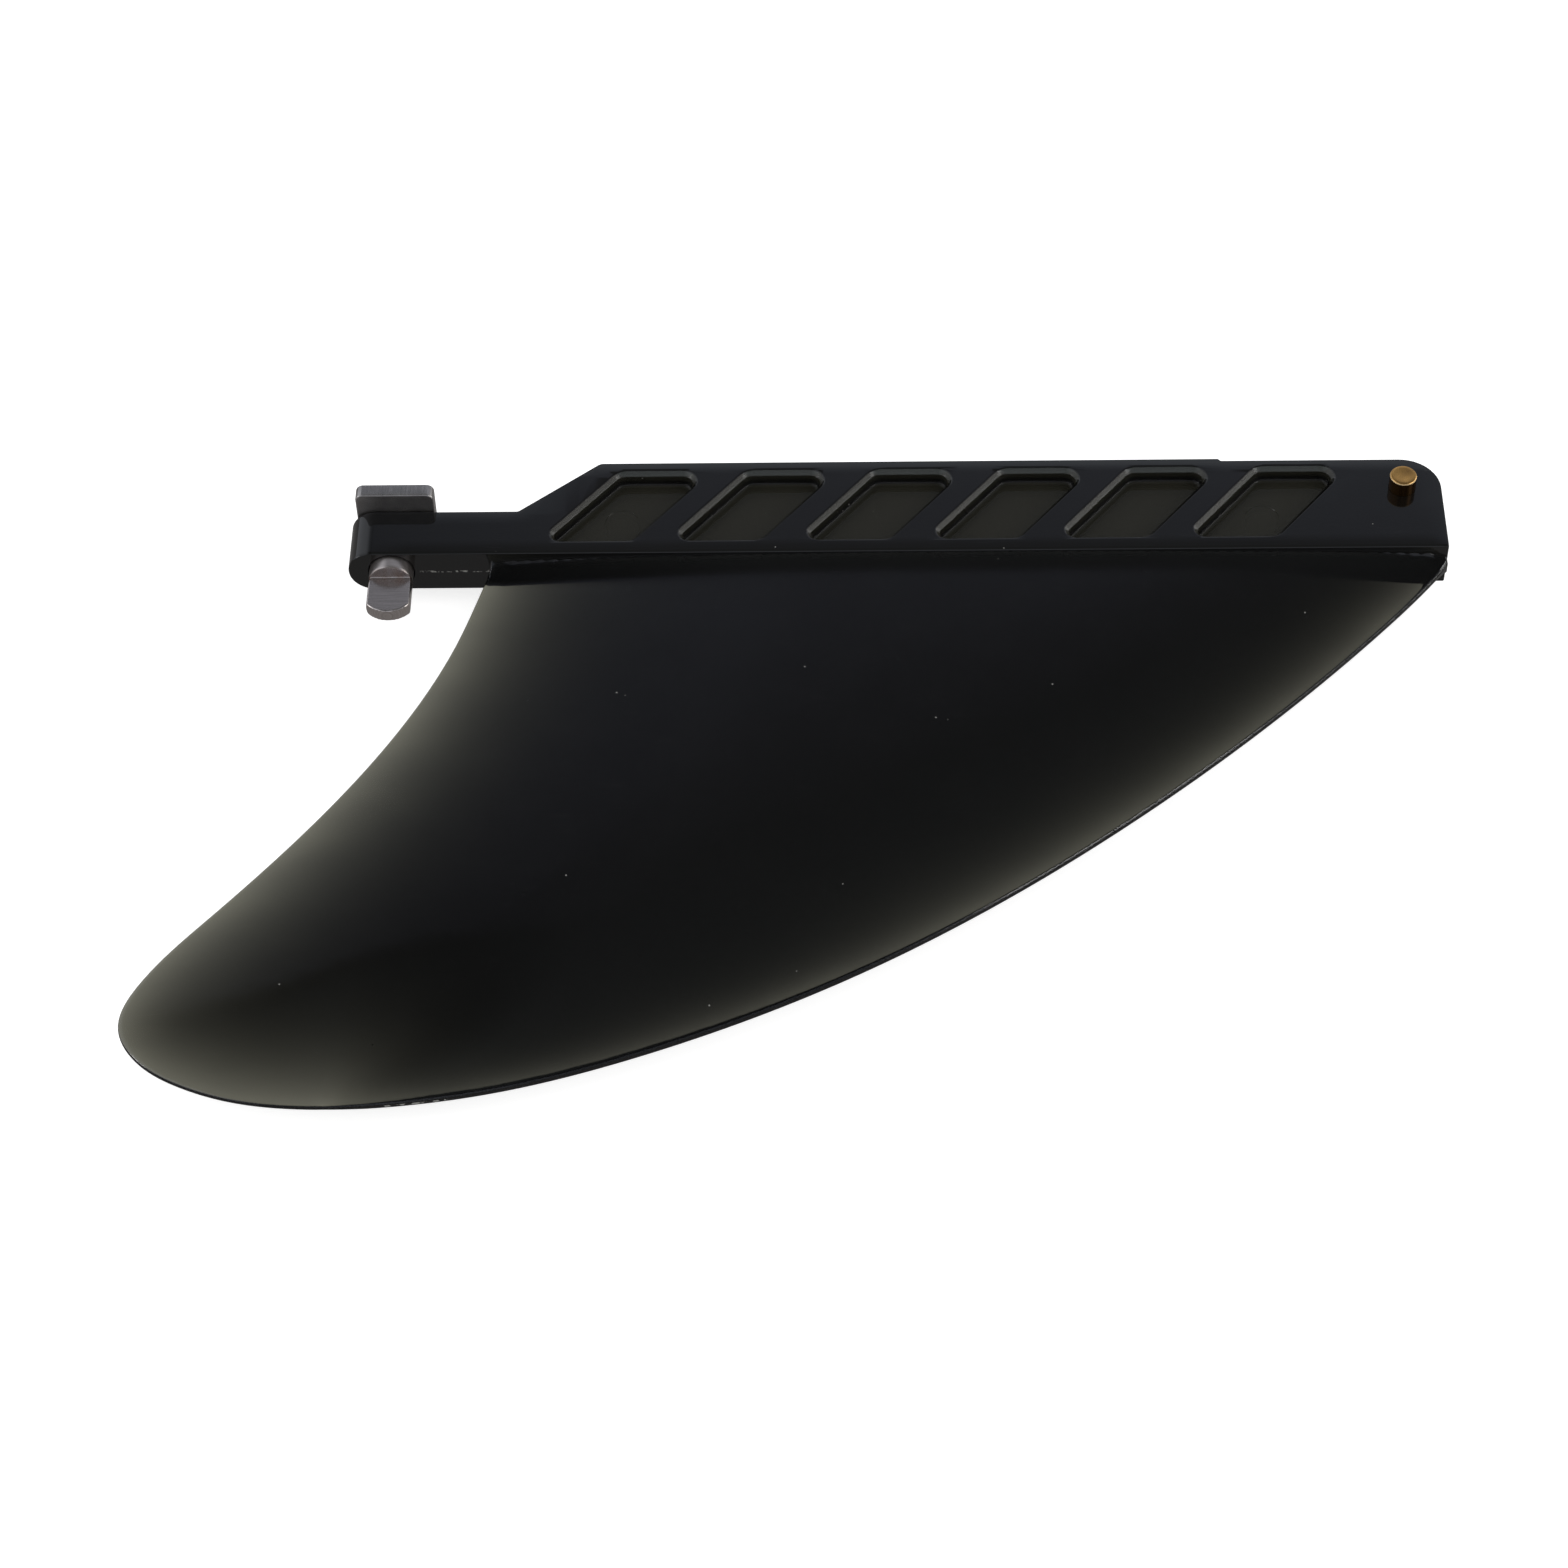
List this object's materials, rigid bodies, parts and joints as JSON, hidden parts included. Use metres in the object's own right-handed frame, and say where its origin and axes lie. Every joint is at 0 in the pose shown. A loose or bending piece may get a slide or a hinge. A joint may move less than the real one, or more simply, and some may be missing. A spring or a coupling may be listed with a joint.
{
  "type": "surfboard fin",
  "caption": "Swept centre fin with a slotted-box base, lightening pockets, brass cross pin and a thumb screw with a clamping plate.",
  "frame": {"origin": "lower rear end of the base, at mid thickness: where the rounded rear arm ends and the base meets the board's surface", "axes": "+X along the base towards the leading edge and cross pin, +Y from the blade's tip into the fin box, +Z square to the blade"},
  "size_m": [0.2231, 0.1382, 0.0168],
  "materials": {
    "smoked_plastic": "satin, see-through where thin",
    "brass": "polished",
    "screw_steel": "turned",
    "plate_steel": "brushed"
  },
  "bodies": {
    "fin": {"fin_body": "smoked_plastic", "cross_pin": "brass"},
    "screw": {"thumb_screw": "screw_steel"},
    "plate": {"lock_plate": "plate_steel"}
  },
  "joints": [
    {"name": "screw_turn", "type": "hinge", "parent": "fin", "child": "screw", "pos_m": [0.00765, 0, 0], "axis": [0, 1, 0], "range_deg": [-2058, 104]},
    {"name": "plate_travel", "type": "slide", "parent": "fin", "child": "plate", "axis": [0, 1, 0], "range_m": [-0.0002, 0.004]}
  ],
  "couplings": [
    {"joint": "screw_turn", "follows": "plate_travel", "rad_per_m": -8976}
  ]
}
